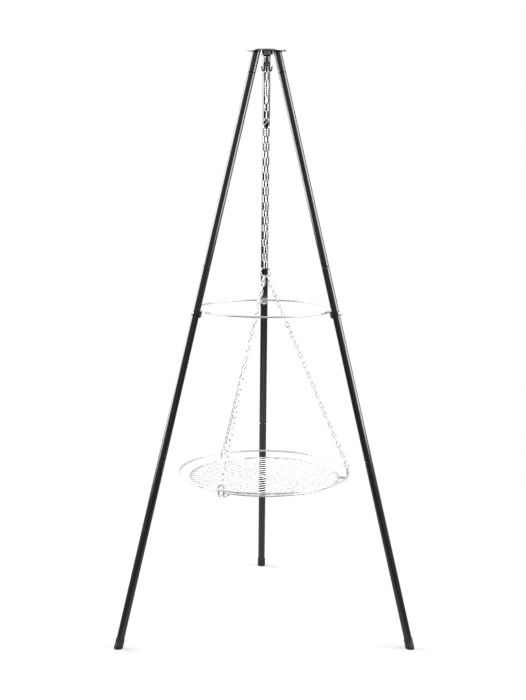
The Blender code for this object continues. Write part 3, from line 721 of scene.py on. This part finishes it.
def lug_path(lug_r):
    """One lug's line on the +X side: in under the bar ring, out, up inside the rim and over.

    Its corners are quarter rounds, and its other half is the same line mirrored in Y.
    """
    half = LUG_WIDTH / 2
    top = RIM_Z + LUG_RISE
    foot = BED_Z - (BED_WIRE + LUG_WIRE) / 2 - SEAT_GAP
    bend = LUG_CORNER
    turn = np.linspace(0, QUARTER, 8)[:, None]
    low = np.array([lug_r - bend, half, foot + bend]) + bend * (np.sin(turn) * X - np.cos(turn) * Z)
    high = np.array([lug_r, half - bend, top - bend]) + bend * (np.cos(turn) * Y + np.sin(turn) * Z)
    side = np.vstack([[BED_R - BED_WIRE / 2, half, foot], low, high])
    return filled(np.vstack([side, side[::-1] * [1, -1, 1]]), LUG_STEP)


def make_grate_chain(name, azimuth, seat, lug_r, chrome):
    """Chain from the gather ring to one lug: links on the straight line between the two wires.

    Its ends lie where the wires touch. Its twist is the angle from the way that the last link
    would face to the lug's own, less whole half turns.
    """
    angle = seat * GATHER_SPREAD
    held = np.array([math.sin(angle) * GATHER_R, 0, GATHER_Z - math.cos(angle) * GATHER_R])
    radial = math.cos(azimuth) * X + math.sin(azimuth) * Y
    tangent = -math.sin(azimuth) * X + math.cos(azimuth) * Y
    lug = lug_r * radial + (RIM_Z + LUG_RISE) * Z
    along = (lug - held) / np.linalg.norm(lug - held)
    start = held - along * (SEAT_GAP + (GATHER_WIRE + GRATE_CHAIN_WIRE) / 2)
    end = lug + along * (SEAT_GAP + (LUG_WIRE + GRATE_CHAIN_WIRE) / 2)
    count = 2 * round(np.linalg.norm(end - start) / GRATE_CHAIN_PITCH / 2)
    across = Y - along[1] * along
    across /= np.linalg.norm(across)
    last = np.cross(along, tangent)
    plain = turn_about(along, (count - 1) * QUARTER) @ across
    twist = math.atan2(np.cross(plain, last) @ along, plain @ last)
    twist -= HALF * round(twist / HALF)
    chain = links_between(start, end, count, GRATE_CHAIN_WIRE, GRATE_CHAIN_WIDTH, across, twist)
    piece(f"Grate_chain_{name}", [moved(shape, AXIS) for shape in chain],
          chrome, "grate_set", f"grate_chain_{name}")


def make_grate(chrome):
    """Gather ring, grate chains, rim with its lugs, and the bar ring with its bars.

    The bars are chords one pitch apart: half of each is the root of the ring's radius squared less
    the bar's own distance from the middle squared.
    """
    gather = arc((0, GATHER_Z), GATHER_R, 0, FULL, 64)[:-1]
    gather = swept(gather, GATHER_WIRE / 2, Y, closed=True)
    piece("Gather_ring", [moved(gather, AXIS)], chrome, "grate_set", "gather_ring")

    lug_r = RIM_R - (RIM_WIRE + LUG_WIRE) / 2 + SUNK
    for name, azimuth, seat in LUGS:
        make_grate_chain(name, azimuth, seat, lug_r, chrome)

    rim = welded_ring(RIM_R, RIM_Z, RIM_WIRE, RIM_WELD)
    lug = swept(*domed(lug_path(lug_r), LUG_WIRE / 2), (X - Z) / math.sqrt(2), around=14)
    lugs = [moved(lug, Matrix.Rotation(azimuth, 4, "Z")) for _, azimuth, _ in LUGS]
    piece("Grate_rim", [moved(shape, AXIS) for shape in (rim, *lugs)],
          chrome, "grate_set", "grate_rim")

    bars = [swept(circle(BED_R, 0, RING_STEPS), BED_WIRE / 2, Z, closed=True, around=14)]
    rows = int((BED_R - BAR_WIRE) / BAR_PITCH)
    for offset in BAR_PITCH * np.arange(-rows, rows + 1):
        half = math.sqrt(BED_R**2 - offset**2)
        path = filled([(-half, offset, 0), (half, offset, 0)], BAR_STEP)
        bars.append(swept(*domed(path, BAR_WIRE / 2, 2), Z, around=12))
    drop = SUNK - (BAR_WIRE + CROSS_WIRE) / 2
    cross = filled([(0, -BED_R, drop), (0, BED_R, drop)], BAR_STEP)
    bars.append(swept(*domed(cross, CROSS_WIRE / 2, 3), Z, around=14))
    place = AXIS @ Matrix.Translation((0, 0, BED_Z)) @ Matrix.Rotation(BAR_DIRECTION, 4, "Z")
    piece("Grate_bars", [moved(shape, place) for shape in bars],
          chrome, "grate_set", "grate_bars")


def put(tree, kind, sockets=None, **settings):
    """A node of this kind, its sockets given a value or joined to another node's output."""
    made = tree.nodes.new(kind)
    for name, value in settings.items():
        setattr(made, name, value)
    for name, value in (sockets or {}).items():
        if isinstance(value, bpy.types.NodeSocket):
            tree.links.new(value, made.inputs[name])
        else:
            made.inputs[name].default_value = value
    return made


def ramp(tree, value, start, end, low=0.0, high=1.0, **settings):
    """Output of a Map Range node: low where the value is start, high where it is end."""
    sockets = {"Value": value, "From Min": start, "From Max": end, "To Min": low, "To Max": high}
    return put(tree, "ShaderNodeMapRange", sockets, **settings).outputs["Result"]


def make_grain():
    """Cloudy tone, fine lines along the piece and small pits, each a mask from 0 to 1.

    Clouds and pits are noise on the object's own coordinates, and the lines are noise on the
    place attribute, drawn out along the piece.
    """
    tree = bpy.data.node_groups.new("surface_grain", "ShaderNodeTree")
    for name in ("Cloud size", "Line size", "Pit size"):
        tree.interface.new_socket(name, in_out="INPUT", socket_type="NodeSocketFloat")
    for name in ("Cloud", "Lines", "Pits"):
        tree.interface.new_socket(name, in_out="OUTPUT", socket_type="NodeSocketFloat")
    given = put(tree, "NodeGroupInput").outputs
    where = put(tree, "ShaderNodeTexCoord").outputs["Object"]
    place = put(tree, "ShaderNodeAttribute", attribute_name="place").outputs["Vector"]
    stretch = {0: place, 1: (1.0, 1.0, 0.03)}
    drawn = put(tree, "ShaderNodeVectorMath", stretch, operation="MULTIPLY").outputs[0]
    out = put(tree, "NodeGroupOutput")
    for name, sockets in (
            ("Cloud", {"Vector": where, "Scale": given["Cloud size"], "Detail": 5.0,
                       "Roughness": 0.6}),
            ("Lines", {"Vector": drawn, "Scale": given["Line size"], "Detail": 3.0}),
            ("Pits", {"Vector": where, "Scale": given["Pit size"], "Detail": 2.0})):
        noise = put(tree, "ShaderNodeTexNoise", sockets).outputs["Fac"]
        tree.links.new(ramp(tree, noise, 0.3, 0.7), out.inputs[name])
    return tree


def finish(slot, name, grain, sizes, dark, pale, sheen, metallic=0.0, lines=0.5, depth=0.00003,
           ior=1.5):
    """A finish from the grain: colour from its clouds, roughness from clouds and lines, relief.

    slot is the record's material slot and name the material's own. sizes are the grain's cloud,
    line and pit sizes, and dark and pale the colours that the clouds mix. sheen is the lowest and
    highest roughness, lines the share of the lines against the pits in the relief, depth the
    relief in metres, and ior the gloss of what isn't metallic.
    """
    made = bpy.data.materials.new(name)
    made["slot"] = slot
    made.use_nodes = True
    tree = made.node_tree
    shader = tree.nodes["Principled BSDF"]
    masks = put(tree, "ShaderNodeGroup", node_tree=grain)
    for key, size in zip(("Cloud size", "Line size", "Pit size"), sizes):
        masks.inputs[key].default_value = size
    cloud, line, pit = (masks.outputs[key] for key in ("Cloud", "Lines", "Pits"))
    colours = {0: cloud, 6: (*dark, 1), 7: (*pale, 1)}
    tone = put(tree, "ShaderNodeMix", colours, data_type="RGBA")
    tree.links.new(tone.outputs[2], shader.inputs["Base Color"])
    uneven = put(tree, "ShaderNodeMix", {0: 0.4, 2: cloud, 3: line})
    tree.links.new(ramp(tree, uneven.outputs[0], 0.0, 1.0, *sheen), shader.inputs["Roughness"])
    relief = put(tree, "ShaderNodeMix", {0: lines, 2: pit, 3: line})
    bump = put(tree, "ShaderNodeBump", {"Height": relief.outputs[0], "Distance": depth,
                                        "Strength": 1.0})
    tree.links.new(bump.outputs["Normal"], shader.inputs["Normal"])
    shader.inputs["Metallic"].default_value = metallic
    shader.inputs["IOR"].default_value = ior
    return made


def make_finishes():
    """Black gloss paint, cap rubber, metal finishes and blackened steel. Zinc and turned chrome
    each come as a darker copy with painted shade and a lighter copy with painted lamp light.
    """
    grain = make_grain()
    return {
        "paint": finish(
            "black_paint", "gloss_paint", grain, (40, 500, 900), (0.005, 0.005, 0.006),
            (0.008, 0.008, 0.009), (0.11, 0.17), lines=0.1, depth=0.000008, ior=1.72),
        "rubber": finish(
            "foot_rubber", "cap_rubber", grain, (60, 900, 2600), (0.014, 0.014, 0.014),
            (0.024, 0.024, 0.023), (0.5, 0.66), lines=0.1, depth=0.00006),
        "chrome": finish(
            "chrome_wire", "wire_chrome", grain, (25, 2200, 3000), (0.69, 0.70, 0.72),
            (0.77, 0.77, 0.77), (0.36, 0.44), metallic=1.0, lines=0.75, depth=0.000003),
        # turned: darker copy of the turned chrome, for collar and bushing, with painted shade in
        # its colour
        "turned": finish(
            "chrome_turned", "turned_chrome_painted_shade", grain, (30, 1600, 2500), (0.32, 0.32, 0.33),
            (0.42, 0.42, 0.42), (0.14, 0.24), metallic=1.0, lines=0.6, depth=0.000008),
        # plate: darker copy of the zinc, for the head plate, with painted shade in its colour
        "plate": finish(
            "zinc_steel", "plate_zinc_painted_shade", grain, (70, 900, 2500), (0.30, 0.31, 0.32),
            (0.42, 0.42, 0.40), (0.24, 0.38), metallic=1.0, lines=0.4, depth=0.000012),
        # tab: lighter copy of the same zinc, for the tabs, with painted lamp light in its colour
        "tab": finish(
            "zinc_steel", "tab_zinc_painted_light", grain, (70, 900, 2500), (0.78, 0.80, 0.79),
            (0.90, 0.91, 0.89), (0.38, 0.48), metallic=1.0, lines=0.4, depth=0.000012),
        # bolt: lighter copy of the turned chrome, for bolts and nuts, with painted lamp light in
        # its colour
        "bolt": finish(
            "chrome_turned", "bolt_chrome_painted_light", grain, (70, 900, 2500), (0.84, 0.85, 0.86),
            (0.93, 0.93, 0.91), (0.26, 0.36), metallic=1.0, lines=0.4, depth=0.000008),
        "blackened": finish(
            "blackened_steel", "oiled_black", grain, (90, 900, 2200), (0.012, 0.012, 0.012),
            (0.032, 0.030, 0.028), (0.28, 0.42), lines=0.3, depth=0.00002),
    }


def make_room():
    """White to the camera. Gloss sees a dark front, a brighter back and a bright ceiling."""
    world = bpy.data.worlds.new("studio")
    bpy.context.scene.world = world
    world.use_nodes = True
    tree = world.node_tree
    tree.nodes.clear()
    rays = put(tree, "ShaderNodeLightPath").outputs
    way = put(tree, "ShaderNodeTexCoord").outputs["Generated"]
    way = put(tree, "ShaderNodeSeparateXYZ", {0: way}).outputs
    behind = ramp(tree, way["Y"], BACK_FROM, BACK_TO, ROOM_FRONT, ROOM_BACK)
    above = ramp(tree, way["Z"], CEILING_FROM, CEILING_TO, 0.0, ROOM_CEILING)
    bright = put(tree, "ShaderNodeMath", {0: behind, 1: above}, operation="MAXIMUM").outputs[0]
    seen = put(tree, "ShaderNodeMix", {0: rays["Is Glossy Ray"], 2: ROOM_LIGHT, 3: bright})
    level = {0: seen.outputs[0], 1: rays["Is Camera Ray"]}
    level = put(tree, "ShaderNodeMath", level, operation="MAXIMUM").outputs[0]
    sky = put(tree, "ShaderNodeBackground", {"Color": (1, 1, 1, 1), "Strength": level})
    tree.links.new(sky.outputs[0], put(tree, "ShaderNodeOutputWorld").inputs[0])


def make_floor():
    """Plain floor: lit and shadowed round the stand, and plain white further out.

    Its colour goes to black outwards as its glow for the camera goes to white. What gloss sees of
    it further out is dark in front and brighter behind.
    """
    mesh = bpy.data.meshes.new("floor")
    corners = [(x * FLOOR_HALF, y * FLOOR_HALF, FLOOR_Z)
               for x, y in ((-1, -1), (1, -1), (1, 1), (-1, 1))]
    mesh.from_pydata(corners, [], [(0, 1, 2, 3)])
    floor = bpy.data.objects.new("floor", mesh)
    bpy.context.scene.collection.objects.link(floor)
    sheet = bpy.data.materials.new("paper_floor")
    sheet.use_nodes = True
    mesh.materials.append(sheet)
    tree = sheet.node_tree
    shader = tree.nodes["Principled BSDF"]
    where = put(tree, "ShaderNodeTexCoord").outputs["Object"]
    away = put(tree, "ShaderNodeVectorMath", {0: where}, operation="LENGTH").outputs["Value"]
    out = ramp(tree, away, FLOOR_FROM, FLOOR_TO, interpolation_type="SMOOTHSTEP")
    colours = {0: out, 6: (FLOOR_COLOUR,) * 3 + (1,), 7: (0, 0, 0, 1)}
    plain = put(tree, "ShaderNodeMix", colours, data_type="RGBA")
    tree.links.new(plain.outputs[2], shader.inputs["Base Color"])
    depth = put(tree, "ShaderNodeSeparateXYZ", {0: where}).outputs["Y"]
    back = ramp(tree, depth, 0.0, FLOOR_BACK_TO, FLOOR_FRONT_SHARE * ROOM_FRONT, ROOM_BACK)
    gloss = put(tree, "ShaderNodeMath", {0: back, 1: out}, operation="MULTIPLY").outputs[0]
    seen = ramp(tree, out, 0.0, 1.0, FLOOR_SEEN, 1.0)
    rays = put(tree, "ShaderNodeLightPath").outputs
    glow = [put(tree, "ShaderNodeMath", {0: part, 1: rays[ray]}, operation="MULTIPLY").outputs[0]
            for part, ray in ((gloss, "Is Glossy Ray"), (seen, "Is Camera Ray"))]
    glow = put(tree, "ShaderNodeMath", {0: glow[0], 1: glow[1]}, operation="ADD").outputs[0]
    tree.links.new(glow, shader.inputs["Emission Strength"])
    shader.inputs["Emission Color"].default_value = (1, 1, 1, 1)
    shader.inputs["Roughness"].default_value = 0.9
    shader.inputs["Specular IOR Level"].default_value = 0.1


def make_lamps():
    """Two soft boxes, one at each side, that face the stand's axis at their own height."""
    for name, x, y, z, width in BOXES:
        data = bpy.data.lights.new(name, "AREA")
        data.shape = "RECTANGLE"
        data.size, data.size_y = width, BOX_HEIGHT
        data.energy = BOX_POWER * width
        box = bpy.data.objects.new(name, data)
        bpy.context.scene.collection.objects.link(box)
        box.location = (x, y + AXIS_Y, z)
        box.rotation_euler = Vector((-x, -y, 0)).to_track_quat("-Z", "Y").to_euler()


def make_camera():
    """The photograph's viewpoint: back from the axis and up, tilted down, turned and rolled."""
    data = bpy.data.cameras.new("camera")
    data.sensor_fit = "VERTICAL"
    data.sensor_height = SENSOR_HEIGHT
    data.lens = FOCAL * SENSOR_HEIGHT / FRAME_HEIGHT
    data.clip_end = 100
    camera = bpy.data.objects.new("camera", data)
    bpy.context.scene.collection.objects.link(camera)
    aim = math.atan2(AXIS_X - FRAME_CENTRE_X, FOCAL)
    camera.matrix_world = (AXIS @ Matrix.Rotation(CAMERA_TURN, 4, "Z")
                           @ Matrix.Translation((0, -CAMERA_BACK, CAMERA_Z))
                           @ Matrix.Rotation(QUARTER - CAMERA_TILT, 4, "X")
                           @ Matrix.Rotation(aim, 4, "Y") @ Matrix.Rotation(CAMERA_ROLL, 4, "Z"))
    bpy.context.scene.camera = camera


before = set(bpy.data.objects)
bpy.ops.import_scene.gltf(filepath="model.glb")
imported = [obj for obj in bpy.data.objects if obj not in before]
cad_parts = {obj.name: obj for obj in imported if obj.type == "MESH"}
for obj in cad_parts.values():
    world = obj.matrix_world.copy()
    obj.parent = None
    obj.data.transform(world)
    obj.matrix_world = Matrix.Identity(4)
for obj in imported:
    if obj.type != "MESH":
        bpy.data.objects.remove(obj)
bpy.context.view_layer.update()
bpy.context.scene.view_settings.view_transform = "Standard"
FINISH = make_finishes()
make_legs(FINISH["paint"], FINISH["rubber"])
make_spreader(FINISH["chrome"], FINISH["tab"], FINISH["bolt"])
make_chain(FINISH["chrome"], make_head(FINISH["plate"], FINISH["turned"], FINISH["blackened"]))
make_grate(FINISH["chrome"])
make_room()
make_floor()
make_lamps()
make_camera()
